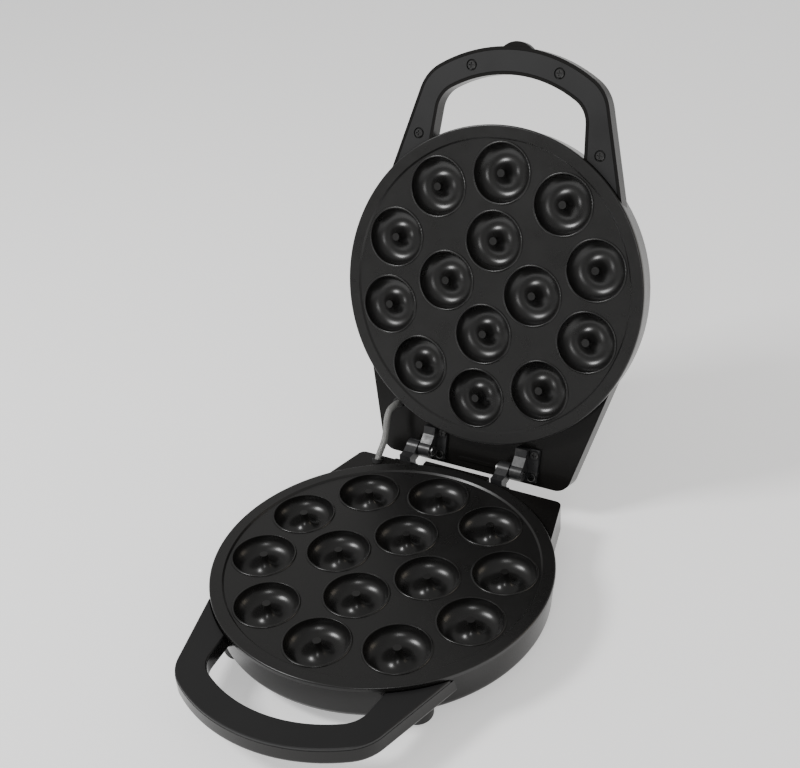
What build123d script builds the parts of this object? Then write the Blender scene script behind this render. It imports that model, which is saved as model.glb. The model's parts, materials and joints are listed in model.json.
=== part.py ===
from build123d import *
import math
import os

# A mini donut maker with a hinged lid, modelled open. Millimetres, +Z up, +Y towards the hinge.
# Each half is built face up in its own frame: origin at the centre of its baking plate on the
# rim plane, +Z out of the plate, +Y towards its handle, so that its hinge side is at -Y.
# Both halves are then placed: the base turned half a turn about Z, the lid leaning back.
# The origin of the finished part is the middle of its footprint on the table.

# ---------------------------------------------------------------- driving dimensions

# baking plates
rim_radius = 115.0          # outer radius of both plates
flange_height = 3.0         # the plate stands this far out of its housing
band_width = 8.5            # raised band round the baking surface
band_step = 1.2             # the baking surface lies this far below the band
plate_wall = 2.4
skirt_depth = 3.0           # locating ring under the flange
plate_gap = 0.8             # between the two rims when the lid is closed

# wells
outer_wells = 10
outer_well_circle = 82.0
inner_wells = 4
inner_well_circle = 34.0
well_radius = 21.2          # outer radius of the ring that bakes
post_radius = 2.8
well_wall = 2.2
groove_drop = 0.6           # the middle of the groove's round section lies this far under the surface
bead_radius = 0.8

# housings
shell_wall = 2.5
shell_depth = 28.0          # from the rim plane to the outside of the housing
shell_taper = 2.5           # the round wall leans in by this much over its depth
shell_edge = 6.0            # radius of the outer edge of the housing
seat_step = 0.4             # the housing's wall stands in from the plate's rim

# rear decks: half width at the widest, how much it narrows per mm, rear edge, height
deck_start = rim_radius - 43.0
base_deck_half_width = rim_radius - 24.0
base_deck_slope = 0.229
base_deck_overhang = -1.2   # rear edge measured from the rim
base_deck_z = -3.5
lid_deck_half_width = rim_radius - 21.3
lid_deck_slope = 0.274
lid_deck_overhang = 24.8
lid_deck_z = -10.0
deck_corner = 5.0
lid_deck_corner = 12.0

# handles
handle_band = 19.0          # width of the grip at the front
base_handle_reach = 48.0    # from the rim to the front of the handle
lid_handle_reach = 53.0
handle_crown_radius = rim_radius - 4.0
handle_corner = 30.0
handle_opening_corner = 19.0
arm_start = rim_radius - 27.0   # where the arms leave the round wall
arm_half_width = rim_radius - 30.5   # outside of the arms there
arm_splay = 16.0            # degrees that the outside of an arm leans in
opening_half_width = arm_half_width - 25.5   # inside of the arms there
opening_splay = 5.0
handle_top_z = -3.5
handle_depth = 13.5
handle_wall = 2.2
handle_edge = 3.0
cover_thickness = 2.2
cover_gap = 0.3

# hinge
hinge_setback = 14.6        # from the rim to the axis
open_angle = 108.8          # the lid rests open this far from closed
lug_width = 9.0
lug_gap = 1.0
knuckle_radius = 5.8
pin_radius = 2.5
pin_clearance = 0.05
pin_head_radius = 3.8
pin_head_height = 1.4
left_hinge_x = -39.5        # middle of each pair of lugs
right_hinge_x = 35.5
lug_block = 8.4             # length of the square block that carries a knuckle
lid_wall_y = rim_radius - 3.0     # the lid's blocks start this far from the plate's centre
lid_flange_end = rim_radius + 22.0
lid_flange_side = lug_width / 2 + 7.5     # the lid's flange reaches out to one side of its lug
lid_bracket_screw_x = lug_width / 2 + 3.9
lid_bracket_screw_y = (rim_radius + 1.0, rim_radius + 18.0)
base_flange_half = lug_width / 2 + 5.0
base_bracket_screw_x = lug_width / 2 + 1.5
bracket_screw_z = -16.0
flange_wall = 2.6

# feet
foot_radius = 10.5
foot_height = 10.0
front_foot_inset = 12.8     # its middle lies this far inside the rim
front_foot_angle = 49.8     # from the X axis
rear_foot = (rim_radius - 47.0, rim_radius - 17.0)   # to the side of and behind the plate's centre

# heating and wiring
element_circle = 58.0
element_radius = 3.2
element_gap = 0.2           # under the wells
element_lift = 0.9          # over the reflector
element_tail_x = 12.0
reflector_wall = 0.8
reflector_clearance = 2.3   # between the reflector and the round wall
boss_circle = 48.0
boss_radius = 4.0
screw_radius = 1.6
screw_clearance = 0.05
screw_head_radius = 3.2
screw_head_height = 2.0
cord_hole_radius = 3.3
cord_x = 62.0
cord_z = -15.0
gland_radius = 5.5
gland_flange = 7.5
cable_radius = 2.5
cable_hole_clearance = 0.2
cable_x = 65.0              # the sleeved lead between the halves, left of the middle
sleeve_wall = 1.4
sleeve_clearance = 0.1
# route of the lead, from the hinge axis above the base's rear deck
lead_points = [(0.5, -25.1, -9.0), (0.2, -21.6, -1.5), (0.0, -10.1, 5.0), (0.0, -5.4, 14.5),
               (-0.2, -2.6, 24.5), (-0.6, 5.9, 28.0), (-1.3, 23.9, 23.0)]
thermostat_radius = 7.5
fuse_radius = 2.2
fuse_y = 20.0
terminal_place = (12.0 - (rim_radius - 34.0), rim_radius - 16.0)
lamp_radius = 4.0
lamp_place = (11.0, rim_radius - 30.0)
# wiring cover: half width, nearest and farthest edge from the plate's centre
cover_plate_size = (34.0, rim_radius - 41.0, rim_radius - 7.0)
vent_slot = (4.0, rim_radius - 53.0, rim_radius - 27.0)   # width, inner and outer end

# screws and their seats
arm_screw_setback = 66.0    # from the front of the handle
crown_screw_x = 33.0
head_recess = 3.0
screw_bite = 14.7           # how far a plate screw goes into the plate's boss
cover_inset = 2.4           # the lid's handle cover lies this far inside the edge of the handle
raised_overhang = 2.7       # the raised part between the hinges stands this far behind the base
raised_low = -4.4
tab_half_width = 10.0
tab_height = 3.7
sleeve_spans = {"base": (1.2, 6.0), "lid": (10.0, 7.0)}   # start from the route's bend, and length

# ---------------------------------------------------------------- derived values

seat_z = -flange_height
surface_z = -band_step
shell_top_radius = rim_radius - seat_step
hinge_y = rim_radius + hinge_setback
axis_z = plate_gap / 2
shell_floor = -shell_depth + shell_wall
groove_circle = (well_radius + post_radius) / 2
groove_radius = (well_radius - post_radius) / 2
groove_z = surface_z - groove_drop
well_bottom = groove_z - groove_radius - well_wall
element_z = well_bottom - element_gap - element_radius
reflector_top = element_z - element_radius - element_lift
reflector_bottom = reflector_top - reflector_wall
table_z = -shell_depth - foot_height
handle_bottom = handle_top_z - handle_depth
wall_top = handle_top_z - cover_thickness


# ---------------------------------------------------------------- outlines and small pieces

def disc(radius, low, high, x=0.0, y=0.0):
    return Pos(x, y, low) * extrude(Circle(radius), high - low)


def block(x_low, x_high, y_low, y_high, z_low, z_high):
    outline = Polygon((x_low, y_low), (x_high, y_low), (x_high, y_high), (x_low, y_high), align=None)
    return Pos(0, 0, z_low) * extrude(outline, z_high - z_low)


def bar_along_x(radius, x_low, x_high, y, z):
    return Pos(x_low, y, z) * Rot(0, 90, 0) * extrude(Circle(radius), x_high - x_low)


def ring_places(radius, count, first=90.0):
    step = 360.0 / count
    return [Pos(radius * math.cos(math.radians(first + step * k)),
                radius * math.sin(math.radians(first + step * k)), 0) for k in range(count)]


def arch(crown, half_width, splay, crown_radius, corner, foot_y):
    """Face under a handle's arch: straight leaning arms, round corners and a gently curved crown."""
    top_y = crown + 5.0
    lean = math.tan(math.radians(splay))
    top_half = half_width - (top_y - arm_start) * lean
    foot_half = half_width - (foot_y - arm_start) * lean
    wedge = Polygon((-foot_half, foot_y), (foot_half, foot_y), (top_half, top_y), (-top_half, top_y),
                    align=None)
    face = wedge & (Pos(0, crown - crown_radius) * Circle(crown_radius))
    corners = face.vertices().sort_by(Axis.Y)[-2:]
    return fillet(corners, corner)


def handle_outline(reach, grow=0.0):
    """The handle's flat outline: its arch, less the finger opening and the round body."""
    crown = rim_radius + reach
    outer = arch(crown + grow, arm_half_width + grow, arm_splay, handle_crown_radius + grow,
                 handle_corner + grow, 40.0)
    opening = arch(crown - handle_band - grow, opening_half_width - grow, opening_splay,
                   handle_crown_radius - handle_band - grow, handle_opening_corner - grow, 30.0)
    return outer - opening


def deck_outline(half_width, slope, rear, corner, inset=0.0):
    """The flat outline behind the plate, from inside the round body to the rear edge."""
    front = deck_start - 30.0
    rear = rear - inset
    front_half = half_width - (front - deck_start) * slope - inset
    rear_half = half_width - (rear - deck_start) * slope - inset
    face = Polygon((-rear_half, -rear), (rear_half, -rear), (front_half, -front), (-front_half, -front),
                   align=None)
    corners = face.vertices().sort_by(Axis.Y)[:2]
    return fillet(corners, corner - min(inset, corner - 1.0))


def screw(length, head_radius=screw_head_radius):
    """A pan-head screw, head up at z = 0 and shank down, with a cross recess."""
    body = disc(head_radius, -screw_head_height, 0) + disc(screw_radius, -length, -screw_head_height)
    body = chamfer(body.edges().sort_by(Axis.Z)[-1], 0.5)
    slot = block(-head_radius * 0.6, head_radius * 0.6, -0.4, 0.4, -1.1, 1)
    return body - slot - Rot(0, 0, 90) * slot


# ---------------------------------------------------------------- baking plates

def well():
    """One ring-shaped well as a turned piece: groove, middle post and raised bead."""
    bowl = Pos(0, 0, groove_z) * Torus(groove_circle, groove_radius + well_wall)
    cup = bowl & disc(well_radius + well_wall, well_bottom - 1, surface_z)
    core = disc(groove_circle, well_bottom + 1.6, surface_z)
    post = disc(post_radius, surface_z, 0.0)
    bead = Pos(0, 0, surface_z) * Torus(well_radius + bead_radius * 0.5, bead_radius)
    bead = bead & disc(well_radius + well_wall, surface_z, 1)
    groove = Pos(0, 0, groove_z) * Torus(groove_circle, groove_radius)
    mouth = disc(well_radius - 0.1, groove_z, 1) - disc(post_radius + 0.1, groove_z, 1)
    return (cup + core + post + bead) - groove - mouth


def baking_plate():
    """A cast plate with a raised rim band, a locating skirt, fourteen wells and four screw bosses."""
    inner = rim_radius - band_width
    profile = [(0, surface_z), (inner - band_step, surface_z), (inner, 0), (rim_radius, 0),
               (rim_radius, seat_z), (shell_top_radius - shell_wall - 0.4, seat_z),
               (shell_top_radius - shell_wall - 0.4, seat_z - skirt_depth),
               (shell_top_radius - shell_wall - 2.2, seat_z - skirt_depth),
               (inner - 3.0, surface_z - plate_wall), (0, surface_z - plate_wall)]
    face = make_face(Polyline(*[(r, 0, z) for r, z in profile], close=True))
    plate = revolve(face, Axis.Z)
    rim_edge = plate.edges().filter_by(GeomType.CIRCLE).filter_by(
        lambda e: abs(e.radius - rim_radius) < 0.01 and abs(e.center().Z) < 0.01)
    plate = fillet(rim_edge, 1.0)
    cup = well()
    places = ring_places(outer_well_circle, outer_wells) + ring_places(inner_well_circle, inner_wells)
    for place in places:
        plate = plate - place * disc(well_radius + 0.3, surface_z - plate_wall - 1, 1)
    for place in places:
        plate = plate + place * cup
    for place in ring_places(boss_circle, 4, 45):
        plate = plate + place * disc(boss_radius, reflector_top, surface_z - plate_wall)
    for place in ring_places(boss_circle, 4, 45):
        pilot = disc(screw_radius + screw_clearance, reflector_top - 1, surface_z - plate_wall)
        plate = plate - place * pilot
    return plate


# ---------------------------------------------------------------- heating

def heating_element():
    """A tubular element: an open ring under the wells with two tails towards the hinge."""
    half_gap = math.degrees(math.asin(element_tail_x / element_circle))
    bend_y = -math.sqrt(element_circle ** 2 - element_tail_x ** 2)
    section = Plane((element_tail_x, bend_y, element_z),
                    x_dir=(element_tail_x, bend_y, 0), z_dir=(-bend_y, element_tail_x, 0))
    ring = revolve(section * Circle(element_radius), Axis.Z, 360 - 2 * half_gap)
    tail_end = -(rim_radius - 21.0)
    body = ring
    for x in (-element_tail_x, element_tail_x):
        body = body + Pos(x, bend_y, element_z) * Sphere(element_radius)
        body = body + Pos(x, bend_y, element_z) * Rot(90, 0, 0) * extrude(Circle(element_radius),
                                                                         bend_y - tail_end)
        body = body + Pos(x, tail_end, element_z) * Rot(90, 0, 0) * extrude(Circle(1.2), 7.0)
    return body


def reflector():
    """A thin pan under the element that holds it up and keeps the heat off the housing."""
    radius = shell_top_radius - shell_wall - shell_taper - reflector_clearance
    pan = disc(radius, reflector_bottom, reflector_top)
    rim = disc(radius, reflector_bottom, -9.0) - disc(radius - reflector_wall, reflector_bottom, -9.0)
    pan = pan + rim
    for x in (-element_tail_x, element_tail_x):
        pan = pan - block(x - element_radius - 0.5, x + element_radius + 0.5, -radius - 1, -radius + 6,
                          element_z - element_radius - 0.4, 0)
    for place in ring_places(boss_circle, 4, 45):
        pan = pan - place * disc(screw_radius + 0.4, reflector_bottom - 1, reflector_top + 1)
    return pan


def reflector_screws():
    """Four screws that hold the reflector and the element to the back of the lid's plate."""
    head_z = reflector_bottom - screw_head_height
    length = reflector_top + screw_bite - head_z
    return [place * Pos(0, 0, head_z) * Rot(180, 0, 0) * screw(length)
            for place in ring_places(boss_circle, 4, 45)]


def plate_screws():
    """Four long screws that clamp the reflector and the plate down onto the housing's bosses."""
    head_z = -shell_depth + head_recess - screw_head_height
    length = reflector_top + screw_bite - head_z
    return [place * Pos(0, 0, head_z) * Rot(180, 0, 0) * screw(length)
            for place in ring_places(boss_circle, 4, 45)]


def thermostat():
    """A disc thermostat held against the middle of the plate, with its two tabs."""
    top = surface_z - plate_wall
    body = disc(thermostat_radius, top - 6.0, top) + disc(thermostat_radius - 2.5, top - 9.0, top - 6.0)
    for x in (-3.6, 3.6):
        body = body + block(x - 0.4, x + 0.4, -2.4, 2.4, top - 12.5, top - 9.0)
    return body


def thermal_fuse():
    """A fuse in its sleeve, lying on the reflector."""
    z = reflector_top + fuse_radius
    sleeve = bar_along_x(fuse_radius, -12, 12, -fuse_y, z)
    return sleeve + bar_along_x(0.6, -17, 17, -fuse_y, z)


def terminal_block():
    """A three-way ceramic block on the floor of the rear box."""
    x, y = terminal_place
    body = block(-x - 9, -x + 9, -y - 9, -y + 9, shell_floor, shell_floor + 11.0)
    for offset in (-6.0, 0.0, 6.0):
        body = body - disc(1.9, shell_floor + 6.0, shell_floor + 12, -x + offset, -y + 4.5)
        body = body - disc(1.9, shell_floor + 6.0, shell_floor + 12, -x + offset, -y - 4.5)
    return body


# ---------------------------------------------------------------- housings

def drum(inset=0.0, top=seat_z):
    top_radius = shell_top_radius - inset
    low = -shell_depth + inset
    low_radius = top_radius - shell_taper
    outline = Polyline((0, 0, top), (top_radius, 0, top), (low_radius, 0, low), (0, 0, low), close=True)
    body = revolve(make_face(outline), Axis.Z)
    edge = body.edges().filter_by(GeomType.CIRCLE).sort_by(Axis.Z)[0]
    return fillet(edge, shell_edge - inset)


def housing(reach, deck, deck_z, cover_inset):
    """One half's housing: a round tub, its rear box and the hollow of its handle."""
    handle_face = handle_outline(reach)
    handle = Pos(0, 0, handle_bottom) * extrude(handle_face, wall_top - handle_bottom)
    handle = fillet(handle.edges().group_by(Axis.Z)[0], handle_edge)
    if cover_inset:
        handle = handle + Pos(0, 0, wall_top) * extrude(handle_face, cover_thickness)
    round_body = drum()
    rear = Pos(0, 0, -shell_depth) * extrude(deck_outline(*deck), shell_depth + deck_z)
    rear = fillet(rear.edges().group_by(Axis.Z)[0], 4.0)
    handle_cavity = Pos(0, 0, handle_bottom + handle_wall) * extrude(
        handle_outline(reach, -handle_wall), handle_depth)
    handle_cavity = handle_cavity - disc(rim_radius, -shell_depth, 1)
    rear_cavity = Pos(0, 0, shell_floor) * extrude(deck_outline(*deck, inset=shell_wall),
                                                   deck_z - shell_wall - shell_floor)
    above_seat = disc(rim_radius + 0.3, seat_z, 5)
    body = round_body + rear + handle
    mouth = disc(shell_top_radius - shell_wall, seat_z - 0.5, 5)
    body = body - (drum(shell_wall) + rear_cavity) - mouth - handle_cavity - above_seat
    return body


def screwed_from_below(body):
    """Adds the four bosses that the plate's screws pass up through, with recesses for their heads."""
    for place in ring_places(boss_circle, 4, 45):
        body = body + place * disc(boss_radius + 1.0, shell_floor - 0.5, reflector_bottom)
    for place in ring_places(boss_circle, 4, 45):
        body = body - place * disc(screw_radius + 0.4, -shell_depth - 1, reflector_bottom + 1)
        body = body - place * disc(screw_head_radius + 0.4, -shell_depth - 1, -shell_depth + head_recess)
    return body


def handle_cover(reach, inset):
    """The flat plate that closes the handle's hollow."""
    face = handle_outline(reach, -inset)
    plate = Pos(0, 0, wall_top) * extrude(face, cover_thickness)
    plate = plate - disc(rim_radius + cover_gap, -20, 5)
    return plate


def handle_screw_places(reach):
    """Two screws in the crown and one in each arm, in the middle of the grip's width."""
    crown = rim_radius + reach
    arm_y = crown - arm_screw_setback
    outside = arm_half_width - (arm_y - arm_start) * math.tan(math.radians(arm_splay))
    inside = opening_half_width - (arm_y - arm_start) * math.tan(math.radians(opening_splay))
    middle_radius = handle_crown_radius - handle_band / 2
    crown_y = crown - middle_radius + math.sqrt(middle_radius ** 2 - crown_screw_x ** 2)
    pairs = [((outside + inside) / 2, arm_y), (crown_screw_x, crown_y - handle_band / 2)]
    return [Pos(side * x, y, 0) for x, y in pairs for side in (-1, 1)]


# ---------------------------------------------------------------- hinge

def hinge_bracket(x, wall_y, block_low, block_top, flange):
    """A cast lug: a square block, a web to its knuckle, and the flange it is screwed down by."""
    square = Polygon((-wall_y, block_low), (-wall_y, block_top), (-wall_y - lug_block, block_top),
                     (-wall_y - lug_block, block_low), align=None)
    web = Polygon((-wall_y - lug_block + 4.0, block_top - 1.0), (-hinge_y, axis_z + knuckle_radius),
                  (-hinge_y, axis_z - knuckle_radius), (-wall_y - lug_block + 4.0, block_top - 8.0),
                  align=None)
    knuckle = Pos(-hinge_y, axis_z) * Circle(knuckle_radius)
    profile = square + web + knuckle
    lug = Pos(x - lug_width / 2, 0, 0) * extrude(Plane.YZ * profile, lug_width, dir=(1, 0, 0))
    lug = lug + flange
    return lug - bar_along_x(pin_radius + pin_clearance, x - 20, x + 20, -hinge_y, axis_z)


def screw_hole_along_y(x, y, z):
    """A clearance hole for a screw that runs towards +Y, 12 mm long and centred on y."""
    return Pos(x, y + 6, z) * Rot(90, 0, 0) * extrude(Circle(screw_radius + screw_clearance), 12)


def base_bracket(x):
    wall_y = rim_radius + base_deck_overhang
    flange = block(x - base_flange_half, x + base_flange_half, -wall_y - flange_wall, -wall_y, -22.0, -4.5)
    bracket = hinge_bracket(x, wall_y, -9.0, 1.5, flange)
    for dx in (-base_bracket_screw_x, base_bracket_screw_x):
        bracket = bracket - screw_hole_along_y(x + dx, -wall_y + 1, bracket_screw_z)
    return bracket


def base_bracket_screws(x):
    wall_y = rim_radius + base_deck_overhang
    head_y = -wall_y - flange_wall - screw_head_height
    return [Pos(x + dx, head_y, bracket_screw_z) * Rot(90, 0, 0) * screw(10.0)
            for dx in (-base_bracket_screw_x, base_bracket_screw_x)]


def lid_bracket(x):
    flange = block(x - lug_width / 2, x + lid_flange_side, -lid_flange_end, -lid_wall_y,
                   lid_deck_z, lid_deck_z + flange_wall)
    bracket = hinge_bracket(x, lid_wall_y, lid_deck_z, -1.0, flange)
    for y in lid_bracket_screw_y:
        bracket = bracket - disc(screw_radius + screw_clearance, lid_deck_z - 1, lid_deck_z + 4,
                                 x + lid_bracket_screw_x, -y)
    return bracket


def lid_bracket_screws(x):
    head_z = lid_deck_z + flange_wall + screw_head_height
    return [Pos(x + lid_bracket_screw_x, -y, head_z) * screw(10.0) for y in lid_bracket_screw_y]


def hinge_pin(x, head_side):
    reach = lug_width + lug_gap / 2
    shaft = bar_along_x(pin_radius, x - reach - 0.3, x + reach + 0.3, hinge_y, axis_z)
    start = x + head_side * (reach + 0.3)
    head = bar_along_x(pin_head_radius, min(start, start + head_side * pin_head_height),
                       max(start, start + head_side * pin_head_height), hinge_y, axis_z)
    return shaft + head


# ---------------------------------------------------------------- the lead between the halves

def lead_path():
    """Route of the sleeved lead from the base's rear deck round the hinge to the lid's deck."""
    points = [Vector(-cable_x + dx, hinge_y + dy, dz) for dx, dy, dz in lead_points]
    runs = [b - a for a, b in zip(points, points[1:])]
    radii = []
    for before, after in zip(runs, runs[1:]):
        half_turn = math.radians(before.get_angle(after)) / 2
        radii.append(0.45 * min(before.length, after.length) / math.tan(half_turn))
    return points, radii


def rod(start, end, radius):
    direction = end - start
    return extrude(Plane(start, z_dir=direction) * Circle(radius), direction.length)


def lead_tube(radius):
    points, radii = lead_path()
    path = FilletPolyline(*points, radius=radii)
    return sweep(Plane(path @ 0, z_dir=path % 0) * Circle(radius), path)


def link_cable():
    points, radii = lead_path()
    path = FilletPolyline(*points, radius=radii)
    print("lead length", round(path.length, 1), "bend radii", [round(r, 1) for r in radii])
    return lead_tube(cable_radius)


def grommet(outer_point, inner_point, reach):
    """A rubber sleeve round the lead where it goes through a deck."""
    direction = (inner_point - outer_point).normalized()
    start = outer_point - direction * 2.0
    end = start + direction * reach
    sleeve = rod(start, end, cable_radius + cable_hole_clearance + sleeve_wall)
    return sleeve - lead_tube(cable_radius + cable_hole_clearance)


# ---------------------------------------------------------------- the two housings with their details

def handle_boss(place, top):
    return place * disc(3.6, handle_bottom + handle_wall - 0.5, top)


def base_shell():
    deck = (base_deck_half_width, base_deck_slope, rim_radius + base_deck_overhang, deck_corner)
    body = screwed_from_below(housing(base_handle_reach, deck, base_deck_z, False))
    wall_y = rim_radius + base_deck_overhang
    left = left_hinge_x + lug_width + lug_gap
    right = right_hinge_x - lug_width - lug_gap
    raised = block(-right + 1.5, -left - 1.5, -wall_y - raised_overhang, -wall_y + 6, raised_low, 0.0)
    body = body + (raised - disc(rim_radius + cover_gap, -30, 5))
    for x, y in foot_places()[:2]:
        boss = disc(foot_radius - 0.5, -shell_depth, shell_floor + 4, x, y)
        body = body + (boss - disc(rim_radius - shell_taper - shell_wall - 0.4, shell_floor, 0))
    for x, y in foot_places():
        body = body - disc(3.2, -shell_depth - 1, shell_floor + 1, x, y)
    width, slot_start, slot_end = vent_slot
    for k in range(12):
        slot = block(-width / 2, width / 2, slot_start, slot_end, -shell_depth - 1, shell_floor + 0.5)
        if k % 3:
            body = body - Rot(0, 0, 30 * k) * slot
    for place in handle_screw_places(base_handle_reach):
        body = body + handle_boss(place, wall_top)
        body = body - place * disc(screw_radius + screw_clearance, handle_bottom - 1, wall_top + 1)
        body = body - place * disc(screw_head_radius + 0.3, handle_bottom - 1, handle_bottom + head_recess)
    body = body - Pos(-cord_x, -wall_y + 10, cord_z) * Rot(90, 0, 0) * extrude(
        Circle(gland_radius + 0.1), 20)
    for hinge_x in (left_hinge_x, right_hinge_x):
        x = -(hinge_x - (lug_width + lug_gap) / 2)
        for dx in (-base_bracket_screw_x, base_bracket_screw_x):
            body = body - screw_hole_along_y(x + dx, -wall_y + 1, bracket_screw_z)
    half, near, far = cover_plate_size
    body = body - block(-half + 5, half - 5, -far + 9, -near - 9, -shell_depth - 1, shell_floor + 0.5)
    for y in (near + 4.5, far - 4.5):
        body = body - disc(screw_radius + screw_clearance, -shell_depth - 1, shell_floor + 1, 0, -y)
    return body


def lid_shell():
    deck = (lid_deck_half_width, lid_deck_slope, rim_radius + lid_deck_overhang, lid_deck_corner)
    body = housing(lid_handle_reach, deck, lid_deck_z, True)
    face = handle_outline(lid_handle_reach, -cover_inset - cover_gap)
    recess = Pos(0, 0, wall_top) * extrude(face, 10)
    body = body - (recess - disc(rim_radius, -30, 10))
    crown = rim_radius + lid_handle_reach
    tab_radius = (tab_half_width ** 2 + tab_height ** 2) / (2 * tab_height)
    tab = disc(tab_radius, handle_top_z - 6.0, handle_top_z - 0.5, 0, crown + tab_height - tab_radius)
    body = body + (tab & block(-20, 20, crown - 1.5, crown + 10, -20, 5))
    for place in handle_screw_places(lid_handle_reach):
        body = body + handle_boss(place, wall_top)
        body = body - place * disc(screw_radius + screw_clearance, handle_bottom + handle_wall, 5)
    rib_y = rim_radius + lid_deck_overhang - 7.0
    body = body + block(-12, 20, -rib_y - 1.0, -rib_y + 1.0, lid_deck_z - 0.5, lid_deck_z + 1.4)
    for x in (-lamp_place[0], lamp_place[0]):
        body = body - disc(lamp_radius + 0.1, -shell_depth - 2, shell_floor + 1, x, lamp_place[1])
    for hinge_x in (left_hinge_x, right_hinge_x):
        x = hinge_x + (lug_width + lug_gap) / 2 + lid_bracket_screw_x
        for y in lid_bracket_screw_y:
            body = body - disc(screw_radius + screw_clearance, lid_deck_z - 8, lid_deck_z + 2, x, -y)
    return body


def foot_places():
    reach = rim_radius - front_foot_inset
    front_x = reach * math.cos(math.radians(front_foot_angle))
    front_y = reach * math.sin(math.radians(front_foot_angle))
    rear_x, rear_y = rear_foot
    return [(-front_x, front_y), (front_x, front_y), (-rear_x, -rear_y), (rear_x, -rear_y)]


def foot(x, y):
    body = disc(foot_radius, table_z, -shell_depth, x, y)
    body = fillet(body.edges().sort_by(Axis.Z)[0], 3.0)
    return body + disc(3.0, -shell_depth - 0.5, shell_floor - 0.1, x, y)


def wiring_cover():
    half, near, far = cover_plate_size
    plate = block(-half, half, -far, -near, -shell_depth - 1.8, -shell_depth)
    for y in (near + 4.5, far - 4.5):
        plate = plate - disc(screw_radius + screw_clearance, -40, 0, 0, -y)
    return plate


def wiring_cover_screws():
    near, far = cover_plate_size[1:]
    head_z = -shell_depth - 1.8 - screw_head_height
    return [Pos(0, -y, head_z) * Rot(180, 0, 0) * screw(8.0) for y in (near + 4.5, far - 4.5)]


def base_handle_cover():
    cover = handle_cover(base_handle_reach, 0.2)
    cover = chamfer(cover.edges().group_by(Axis.Z)[-1], 0.5)
    for place in handle_screw_places(base_handle_reach):
        cover = cover - place * disc(screw_radius + screw_clearance, wall_top - 1, wall_top + 1.5)
    return cover


def base_handle_screws():
    head_z = handle_bottom + head_recess - screw_head_height
    length = wall_top + 1.2 - head_z
    return [place * Pos(0, 0, head_z) * Rot(180, 0, 0) * screw(length)
            for place in handle_screw_places(base_handle_reach)]


def lid_handle_cover():
    cover = handle_cover(lid_handle_reach, cover_inset)
    for place in handle_screw_places(lid_handle_reach):
        cover = cover - place * disc(screw_radius + screw_clearance, wall_top - 1, 5)
        cover = cover - place * disc(screw_head_radius + 0.8, handle_top_z - 1.3, 5)
    return cover


def lid_handle_screws():
    return [place * Pos(0, 0, handle_top_z - 1.3 + screw_head_height) * screw(11.0)
            for place in handle_screw_places(lid_handle_reach)]


def cord_gland():
    wall_y = rim_radius + base_deck_overhang
    body = Rot(90, 0, 0) * (extrude(Circle(gland_flange), 2.0) + Pos(0, 0, -8.0) * extrude(
        Circle(gland_radius), 8.5) - Pos(0, 0, -9) * extrude(Circle(cord_hole_radius), 15))
    return Pos(-cord_x, -wall_y, cord_z) * body


def gland_nut():
    wall_y = rim_radius + base_deck_overhang
    nut = extrude(RegularPolygon(gland_flange + 1.0, 6), 3.0) - extrude(Circle(gland_radius + 0.05), 3.0)
    return Pos(-cord_x, -wall_y + shell_wall + 3.0, cord_z) * Rot(90, 0, 0) * nut


def lamp_lens(x):
    dome = disc(lamp_radius, -shell_depth - 1.0, shell_floor, x, lamp_place[1])
    dome = fillet(dome.edges().sort_by(Axis.Z)[0], 0.8)
    return dome + disc(lamp_radius + 1.2, shell_floor, shell_floor + 0.8, x, lamp_place[1])


def lamp_holder():
    """A carrier that presses both lenses against the lid and holds the lamps behind them."""
    x, y = lamp_place
    low = shell_floor + 0.8
    body = block(-x - 6, x + 6, y - 6, y + 6, low, low + 2.4)
    for side in (-x, x):
        body = body - disc(2.6, low - 1, low + 5, side, y)
    return body


# ---------------------------------------------------------------- assembly

def base_frame(shape):
    return Rot(0, 0, 180) * shape


def lid_frame(shape):
    return Pos(0, hinge_y, axis_z) * Rot(180 - open_angle, 0, 0) * Pos(0, hinge_y, -axis_z) * shape


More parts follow.
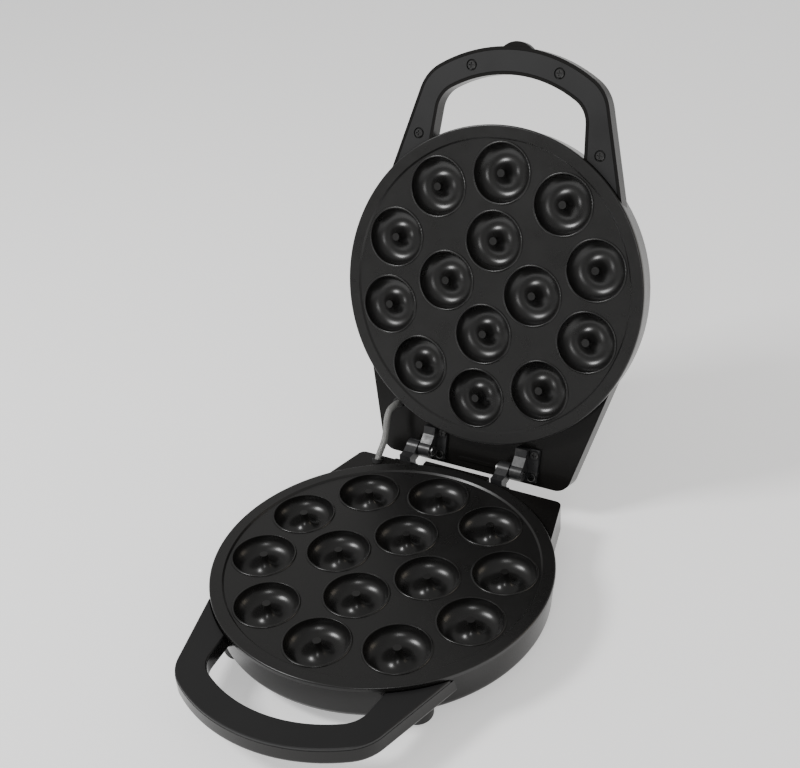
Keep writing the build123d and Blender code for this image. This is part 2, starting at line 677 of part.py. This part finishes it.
def build():
    lugs = (lug_width + lug_gap) / 2
    base = {
        "base_shell": base_shell(),
        "base_plate": baking_plate(),
        "base_heating_element": heating_element(),
        "base_reflector": reflector(),
        "base_plate_screws": plate_screws(),
        "base_handle_cover": base_handle_cover(),
        "base_handle_screws": base_handle_screws(),
        "thermostat": thermostat(),
        "thermal_fuse": thermal_fuse(),
        "terminal_block": terminal_block(),
        "cord_gland": cord_gland(),
        "cord_gland_nut": gland_nut(),
        "wiring_cover": wiring_cover(),
        "wiring_cover_screws": wiring_cover_screws(),
        "base_hinge_bracket_left": base_bracket(-(left_hinge_x - lugs)),
        "base_hinge_bracket_right": base_bracket(-(right_hinge_x - lugs)),
        "base_bracket_screws": base_bracket_screws(-(left_hinge_x - lugs))
        + base_bracket_screws(-(right_hinge_x - lugs)),
        "feet": [foot(x, y) for x, y in foot_places()],
    }
    lid = {
        "lid_shell": lid_shell(),
        "lid_plate": baking_plate(),
        "lid_heating_element": heating_element(),
        "lid_reflector": reflector(),
        "lid_plate_screws": reflector_screws(),
        "lid_handle_cover": lid_handle_cover(),
        "lid_handle_screws": lid_handle_screws(),
        "power_lamp_lens": lamp_lens(-lamp_place[0]),
        "ready_lamp_lens": lamp_lens(lamp_place[0]),
        "lamp_holder": lamp_holder(),
        "lid_hinge_bracket_left": lid_bracket(left_hinge_x + lugs),
        "lid_hinge_bracket_right": lid_bracket(right_hinge_x + lugs),
        "lid_bracket_screws": lid_bracket_screws(left_hinge_x + lugs)
        + lid_bracket_screws(right_hinge_x + lugs),
    }
    parts = {}
    for frame, pieces in ((base_frame, base), (lid_frame, lid)):
        for name, piece in pieces.items():
            if isinstance(piece, list):
                parts[name] = Compound(children=[frame(one) for one in piece])
            else:
                parts[name] = frame(piece)
    points, _ = lead_path()
    ends = {"base": (points[1], points[0]), "lid": (points[-2], points[-1])}
    for half, (outer, inner) in ends.items():
        start, reach = sleeve_spans[half]
        direction = (inner - outer).normalized()
        sleeve = grommet(outer + direction * (start + 2.0), inner, reach)
        hole = rod(outer, inner, cable_radius + cable_hole_clearance + sleeve_wall + sleeve_clearance)
        parts[half + "_shell"] = parts[half + "_shell"] - hole
        parts[half + "_cable_grommet"] = sleeve
    parts["link_cable"] = link_cable()
    parts["hinge_pin_left"] = hinge_pin(left_hinge_x, 1)
    parts["hinge_pin_right"] = hinge_pin(right_hinge_x, -1)
    return parts


def move_to_origin(parts):
    """Put the origin in the middle of the footprint, on the table."""
    box = Compound(children=[Compound(part.solids()) for part in parts.values()]).bounding_box()
    shift = Vector(-(box.min.X + box.max.X) / 2, -(box.min.Y + box.max.Y) / 2, -box.min.Z)
    print("hinge axis at", [round(v, 4) for v in (shift.X, shift.Y + hinge_y, shift.Z + axis_z)])
    print("plate centre at", [round(v, 4) for v in (shift.X, shift.Y, shift.Z)])
    print("size", [round(v, 2) for v in (box.size.X, box.size.Y, box.size.Z)])
    return {name: Pos(shift.X, shift.Y, shift.Z) * part for name, part in parts.items()}


os.makedirs("parts", exist_ok=True)
for name, part in move_to_origin(build()).items():
    solids = part.solids()
    export_step(solids[0] if len(solids) == 1 else Compound(children=solids), f"parts/{name}.step")
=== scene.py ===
import json
import math

import bmesh
import bpy
from mathutils import Matrix, Vector


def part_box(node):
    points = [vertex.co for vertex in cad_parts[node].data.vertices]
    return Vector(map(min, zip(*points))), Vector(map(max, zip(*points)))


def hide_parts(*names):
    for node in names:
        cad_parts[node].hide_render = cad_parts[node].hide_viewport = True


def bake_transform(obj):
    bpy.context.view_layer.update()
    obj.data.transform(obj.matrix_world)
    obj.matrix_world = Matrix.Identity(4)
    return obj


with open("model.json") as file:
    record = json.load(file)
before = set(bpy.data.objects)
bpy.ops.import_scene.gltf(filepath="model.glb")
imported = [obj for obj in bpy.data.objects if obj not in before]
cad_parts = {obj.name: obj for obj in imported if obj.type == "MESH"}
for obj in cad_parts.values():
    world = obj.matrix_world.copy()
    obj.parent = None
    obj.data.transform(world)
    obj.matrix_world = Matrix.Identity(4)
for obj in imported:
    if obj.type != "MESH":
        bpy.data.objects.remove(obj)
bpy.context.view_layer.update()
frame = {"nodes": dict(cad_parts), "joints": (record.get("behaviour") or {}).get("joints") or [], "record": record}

# ---------------------------------------------------------------- places from the frame, and the lead's route

HINGE = Vector(frame["joints"][0]["pos_m"])
PLATE_LOW, PLATE_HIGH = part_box("base_plate")
PLATE = Vector(((PLATE_LOW.x + PLATE_HIGH.x) / 2, (PLATE_LOW.y + PLATE_HIGH.y) / 2, PLATE_HIGH.z))

LEAD_RADIUS = 0.0025
LEAD_X = 0.065
# the lead's route, in metres from the hinge axis and the plate's rim
LEAD_POINTS = [
    (0.0005, -0.0251, -0.0090), (0.0002, -0.0216, -0.0015), (0.0, -0.0101, 0.0050),
    (0.0, -0.0054, 0.0145), (-0.0002, -0.0026, 0.0245), (-0.0006, 0.0059, 0.0280),
    (-0.0013, 0.0239, 0.0230),
]


# ---------------------------------------------------------------- camera and light

CAMERA_AZIMUTH = math.radians(30.9)
CAMERA_ELEVATION = math.radians(31.12)
CAMERA_ROLL = math.radians(-4.18)
CAMERA_DISTANCE = 0.8385
SENSOR_WIDTH_MM = 36.0
FOCAL_LENGTH_MM = 55.81395
VIEW_CENTRE = PLATE + Vector((0, 0.060, 0.060))
SHIFT_RIGHT = -0.01012
SHIFT_UP = 0.03967


def make_camera():
    """A camera at the product view's angle: from the front, to the right and a third of the way up."""
    azimuth, elevation, roll = CAMERA_AZIMUTH, CAMERA_ELEVATION, CAMERA_ROLL
    back = Vector((math.sin(azimuth) * math.cos(elevation), -math.cos(azimuth) * math.cos(elevation),
                   math.sin(elevation)))
    right = Vector((math.cos(azimuth), math.sin(azimuth), 0))
    up = back.cross(right)
    target = VIEW_CENTRE + right * SHIFT_RIGHT + up * SHIFT_UP
    across = right * math.cos(roll) + up * math.sin(roll)
    upward = up * math.cos(roll) - right * math.sin(roll)
    turn = Matrix((across, upward, back)).transposed().to_4x4()
    camera = bpy.data.objects.new("camera", bpy.data.cameras.new("camera"))
    camera.data.sensor_width = SENSOR_WIDTH_MM
    camera.data.lens = FOCAL_LENGTH_MM
    camera.data.clip_end = 50
    camera.matrix_world = Matrix.Translation(target + back * CAMERA_DISTANCE) @ turn
    bpy.context.scene.collection.objects.link(camera)
    bpy.context.scene.camera = camera


def area_light(name, place, aim, size, power, color=(1, 1, 1)):
    light = bpy.data.lights.new(name, "AREA")
    light.shape = "RECTANGLE"
    light.size, light.size_y = size
    light.energy = power
    light.color = color
    lamp = bpy.data.objects.new(name, light)
    direction = Vector(place) - Vector(aim)
    lamp.rotation_euler = direction.to_track_quat("Z", "Y").to_euler()
    lamp.location = place
    bpy.context.scene.collection.objects.link(lamp)


def make_studio():
    world = bpy.data.worlds.new("studio")
    world.use_nodes = True
    background = world.node_tree.nodes["Background"]
    background.inputs["Color"].default_value = (1.0, 0.99, 0.975, 1)
    background.inputs["Strength"].default_value = 0.5
    bpy.context.scene.world = world

    bpy.ops.mesh.primitive_plane_add(size=12, location=(0, 0, 0))
    floor = bpy.context.object
    floor.name = "floor"
    floor.data.materials.append(floor_material())

    middle = (0, 0.05, 0.1)
    lid_side = (0.1, 0.1, 0.15)
    area_light("key", (-0.9, -0.75, 1.35), middle, (0.4, 0.4), 20)
    area_light("front", (0.55, -1.5, 1.0), middle, (0.5, 0.3), 6)
    area_light("rim", (1.3, 0.7, 0.5), lid_side, (0.5, 0.9), 3, (1.0, 0.86, 0.68))


# ---------------------------------------------------------------- materials

class Shader:
    """A principled material with short ways to add noise to its colour, roughness and bump."""

    def __init__(self, name, color, roughness, **sockets):
        self.material = bpy.data.materials.new(name)
        self.material.use_nodes = True
        self.nodes = self.material.node_tree.nodes
        self.links = self.material.node_tree.links
        self.surface = self.nodes["Principled BSDF"]
        self.place = self.nodes.new("ShaderNodeTexCoord").outputs["Object"]
        self.color = color
        self.set("Base Color", (*color, 1))
        self.set("Roughness", roughness)
        for socket, value in sockets.items():
            self.set(socket.replace("_", " "), value)

    def set(self, socket, value):
        self.surface.inputs[socket].default_value = value

    def noise(self, scale, detail=3.0, roughness=0.5, stretch=None):
        texture = self.nodes.new("ShaderNodeTexNoise")
        texture.inputs["Scale"].default_value = scale
        texture.inputs["Detail"].default_value = detail
        texture.inputs["Roughness"].default_value = roughness
        source = self.place
        if stretch:
            mapping = self.nodes.new("ShaderNodeMapping")
            mapping.inputs["Scale"].default_value = stretch
            self.links.new(source, mapping.inputs["Vector"])
            source = mapping.outputs["Vector"]
        self.links.new(source, texture.inputs["Vector"])
        return texture.outputs["Fac"]

    def ranged(self, value, low, high, start=0.3, end=0.7):
        node = self.nodes.new("ShaderNodeMapRange")
        node.inputs["From Min"].default_value = start
        node.inputs["From Max"].default_value = end
        node.inputs["To Min"].default_value = low
        node.inputs["To Max"].default_value = high
        self.links.new(value, node.inputs["Value"])
        return node.outputs["Result"]

    def vary_roughness(self, value, low, high):
        self.links.new(self.ranged(value, low, high), self.surface.inputs["Roughness"])

    def vary_color(self, value, other, start=0.3, end=0.7):
        ramp = self.nodes.new("ShaderNodeValToRGB")
        ramp.color_ramp.elements[0].position = start
        ramp.color_ramp.elements[0].color = (*self.color, 1)
        ramp.color_ramp.elements[1].position = end
        ramp.color_ramp.elements[1].color = (*other, 1)
        self.links.new(value, ramp.inputs["Fac"])
        self.links.new(ramp.outputs["Color"], self.surface.inputs["Base Color"])

    def bump(self, value, strength, distance):
        node = self.nodes.new("ShaderNodeBump")
        node.inputs["Strength"].default_value = strength
        node.inputs["Distance"].default_value = distance
        self.links.new(value, node.inputs["Height"])
        self.links.new(node.outputs["Normal"], self.surface.inputs["Normal"])


def floor_material():
    """White sweep paper that glows a little, as a floor lit by lights of its own does."""
    shader = Shader("pale_floor", (0.93, 0.93, 0.93), 0.6)
    shader.set("Emission Color", (1.0, 1.0, 1.0, 1))
    shader.set("Emission Strength", 0.5)
    shader.vary_roughness(shader.noise(3.0), 0.55, 0.65)
    return shader.material


def shell_plastic():
    """Glossy black moulded plastic with faint flow marks."""
    shader = Shader("black_shell", (0.0055, 0.0052, 0.005), 0.22, IOR=1.33)
    shader.vary_roughness(shader.noise(22.0, 4.0), 0.18, 0.27)
    shader.vary_color(shader.noise(9.0, 2.0), (0.0075, 0.007, 0.0066))
    shader.bump(shader.noise(260.0, 2.0), 0.05, 0.0002)
    return shader.material


def cover_plastic():
    """Finely textured matt black plastic on the flat faces of the handles."""
    shader = Shader("black_cover", (0.008, 0.008, 0.0083), 0.42, Specular_IOR_Level=0.36)
    shader.vary_roughness(shader.noise(35.0, 4.0), 0.4, 0.52)
    shader.bump(shader.noise(2600.0, 2.0, 0.6), 0.22, 0.00006)
    return shader.material


def nonstick_coating():
    """Sprayed semi-gloss non-stick coating over cast aluminium: fine orange peel and faint specks."""
    shader = Shader("nonstick", (0.0072, 0.007, 0.0068), 0.3, Specular_IOR_Level=0.45)
    shader.vary_roughness(shader.noise(48.0, 5.0, 0.6), 0.25, 0.34)
    shader.vary_color(shader.noise(900.0, 2.0, 0.7), (0.014, 0.0135, 0.013), 0.58, 0.74)
    shader.bump(shader.noise(1150.0, 3.0, 0.55), 0.16, 0.00009)
    return shader.material


def metal(name, color, roughness, stretch=(1, 1, 8), spread=0.08):
    shader = Shader(name, color, roughness, Metallic=1.0)
    grain = shader.noise(700.0, 3.0, 0.6, stretch)
    shader.vary_roughness(grain, roughness - spread, roughness + spread)
    shader.bump(grain, 0.08, 0.00004)
    return shader.material


def hinge_paint():
    """Dark grey satin finish over a cast lug, a little lighter where it has rubbed."""
    shader = Shader("hinge_grey", (0.019, 0.019, 0.02), 0.33)
    shader.vary_color(shader.noise(160.0, 4.0, 0.7), (0.055, 0.054, 0.052), 0.56, 0.8)
    shader.vary_roughness(shader.noise(300.0, 3.0), 0.26, 0.42)
    shader.bump(shader.noise(900.0, 3.0), 0.25, 0.00008)
    return shader.material


def rubber(name):
    shader = Shader(name, (0.012, 0.012, 0.012), 0.68)
    shader.vary_roughness(shader.noise(60.0), 0.6, 0.78)
    shader.bump(shader.noise(1400.0, 2.0), 0.3, 0.00006)
    return shader.material


def moulding(name, color, roughness=0.5):
    shader = Shader(name, color, roughness)
    shader.vary_roughness(shader.noise(80.0), roughness - 0.06, roughness + 0.08)
    shader.bump(shader.noise(1500.0), 0.1, 0.00005)
    return shader.material


def lens(name, color):
    shader = Shader(name, color, 0.12, Transmission_Weight=0.35, IOR=1.49)
    shader.vary_roughness(shader.noise(120.0), 0.08, 0.18)
    return shader.material


def sleeve_yarn():
    """Silver grey glass yarn of the lead's braided sleeve."""
    shader = Shader("braided_sleeve", (0.15, 0.15, 0.147), 0.34, Metallic=0.45)
    shader.vary_color(shader.noise(2200.0, 3.0, 0.7), (0.42, 0.42, 0.405), 0.35, 0.7)
    shader.vary_roughness(shader.noise(1500.0), 0.27, 0.42)
    shader.bump(shader.noise(4200.0, 2.0), 0.5, 0.00006)
    return shader.material


def finish_frame():
    """Gives every CAD node that stays the material of its slot."""
    finishes = {
        "black_shell": shell_plastic(),
        "black_cover": cover_plastic(),
        "nonstick": nonstick_coating(),
        "element_steel": metal("element_steel", (0.32, 0.3, 0.28), 0.42),
        "reflector_metal": metal("reflector_metal", (0.7, 0.7, 0.71), 0.28),
        "screw_steel": metal("screw_steel", (0.48, 0.48, 0.47), 0.3),
        "handle_screw": metal("handle_screw", (0.07, 0.07, 0.07), 0.3),
        "thermostat_metal": metal("thermostat_metal", (0.6, 0.6, 0.6), 0.33),
        "fuse_sleeve": moulding("fuse_sleeve", (0.7, 0.68, 0.6), 0.8),
        "ceramic": moulding("ceramic", (0.8, 0.79, 0.75), 0.3),
        "gland_plastic": moulding("gland_plastic", (0.014, 0.014, 0.014)),
        "hinge_grey": hinge_paint(),
        "pin_steel": metal("pin_steel", (0.3, 0.3, 0.3), 0.3, (8, 1, 1)),
        "foot_rubber": rubber("foot_rubber"),
        "grommet_rubber": rubber("grommet_rubber"),
        "red_lens": lens("red_lens", (0.5, 0.01, 0.008)),
        "green_lens": lens("green_lens", (0.01, 0.35, 0.04)),
        "holder_plastic": moulding("holder_plastic", (0.7, 0.7, 0.68)),
    }
    for part in frame["record"]["subparts"]:
        node = frame["nodes"].get(part["node"])
        finish = finishes.get(part["material_slot"])
        if node and finish:
            node.data.materials.clear()
            node.data.materials.append(finish)


# ---------------------------------------------------------------- the lead between the halves

def route_points(points):
    """The smooth line of the lead: points read from a NURBS spline through its route."""
    curve = bpy.data.curves.new("route", "CURVE")
    curve.dimensions = "3D"
    curve.resolution_u = 24
    spline = curve.splines.new("NURBS")
    spline.points.add(len(points) - 1)
    for point, place in zip(spline.points, points):
        point.co = (*place, 1)
    spline.order_u = 3
    spline.use_endpoint_u = True
    holder = bpy.data.objects.new("route", curve)
    bpy.context.scene.collection.objects.link(holder)
    mesh = bpy.data.meshes.new_from_object(holder)
    line = [vertex.co.copy() for vertex in mesh.vertices]
    bpy.data.objects.remove(holder)
    return line


def even_line(line, count):
    """The same line cut into equal steps."""
    lengths = [0.0]
    for a, b in zip(line, line[1:]):
        lengths.append(lengths[-1] + (b - a).length)
    result = []
    index = 0
    for k in range(count):
        wanted = lengths[-1] * k / (count - 1)
        while index < len(line) - 2 and lengths[index + 1] < wanted:
            index += 1
        share = (wanted - lengths[index]) / (lengths[index + 1] - lengths[index])
        result.append(line[index].lerp(line[index + 1], share))
    return result


def frames_along(line):
    """A pair of cross directions at each point that turn with the line and don't twist."""
    directions = []
    for k in range(len(line)):
        directions.append((line[min(k + 1, len(line) - 1)] - line[max(k - 1, 0)]).normalized())
    side = directions[0].cross(Vector((1, 0, 0))).normalized()
    frames = []
    for direction in directions:
        side = (side - direction * side.dot(direction)).normalized()
        frames.append((side, direction.cross(side)))
    return frames


def add_tube(mesh, centres, radii, sides):
    """A round tube with closed ends through the centres, added to the mesh."""
    frames = frames_along(centres)
    rings = []
    for centre, radius, (side, other) in zip(centres, radii, frames):
        ring = []
        for k in range(sides):
            angle = 2 * math.pi * k / sides
            ring.append(mesh.verts.new(centre + side * math.cos(angle) * radius
                                       + other * math.sin(angle) * radius))
        rings.append(ring)
    for low, high in zip(rings, rings[1:]):
        for k in range(sides):
            mesh.faces.new((low[k], low[(k + 1) % sides], high[(k + 1) % sides], high[k]))
    mesh.faces.new(reversed(rings[0]))
    mesh.faces.new(rings[-1])


def finish_piece(name, mesh, material):
    data = bpy.data.meshes.new(name)
    bmesh.ops.recalc_face_normals(mesh, faces=mesh.faces)
    mesh.to_mesh(data)
    mesh.free()
    for face in data.polygons:
        face.use_smooth = True
    data.materials.append(material)
    piece = bpy.data.objects.new(name, data)
    bpy.context.scene.collection.objects.link(piece)
    return piece


def braided_lead():
    """The lead in its braided sleeve: a core and flat bundles of yarn that pass over and under."""
    start = Vector((-LEAD_X, HINGE.y, PLATE.z))
    route = route_points([start + Vector(point) for point in LEAD_POINTS])
    line = even_line(route, 220)
    frames = frames_along(line)
    yarn = 0.00021  # radius of one yarn
    lift = 0.00012  # how far a bundle rises and falls at a crossing
    mean = LEAD_RADIUS - yarn - lift
    bundles = 10  # in each direction
    wires = 3  # yarns in a bundle
    wire_spacing = 1.9 * yarn / mean
    turns = 4.6
    mesh = bmesh.new()
    core = line[::4] + [line[-1]]
    add_tube(mesh, core, [mean - yarn * 0.4] * len(core), 20)
    for direction in (1, -1):
        for bundle in range(bundles):
            for wire in range(wires):
                centres = []
                for k, (point, (side, other)) in enumerate(zip(line, frames)):
                    share = k / (len(line) - 1)
                    offset = (wire - (wires - 1) / 2) * wire_spacing
                    angle = direction * (2 * math.pi * turns * share) + offset
                    angle += 2 * math.pi * bundle / bundles
                    wave = math.cos(math.pi * (2 * bundles * turns * share + bundle))
                    reach = mean + direction * lift * wave
                    centres.append(point + side * math.cos(angle) * reach + other * math.sin(angle) * reach)
                add_tube(mesh, centres, [yarn] * len(centres), 5)
    piece = finish_piece("lead_braid", mesh, sleeve_yarn())
    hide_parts("link_cable")
    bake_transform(piece)


# ---------------------------------------------------------------- scene

make_camera()
make_studio()
finish_frame()
braided_lead()
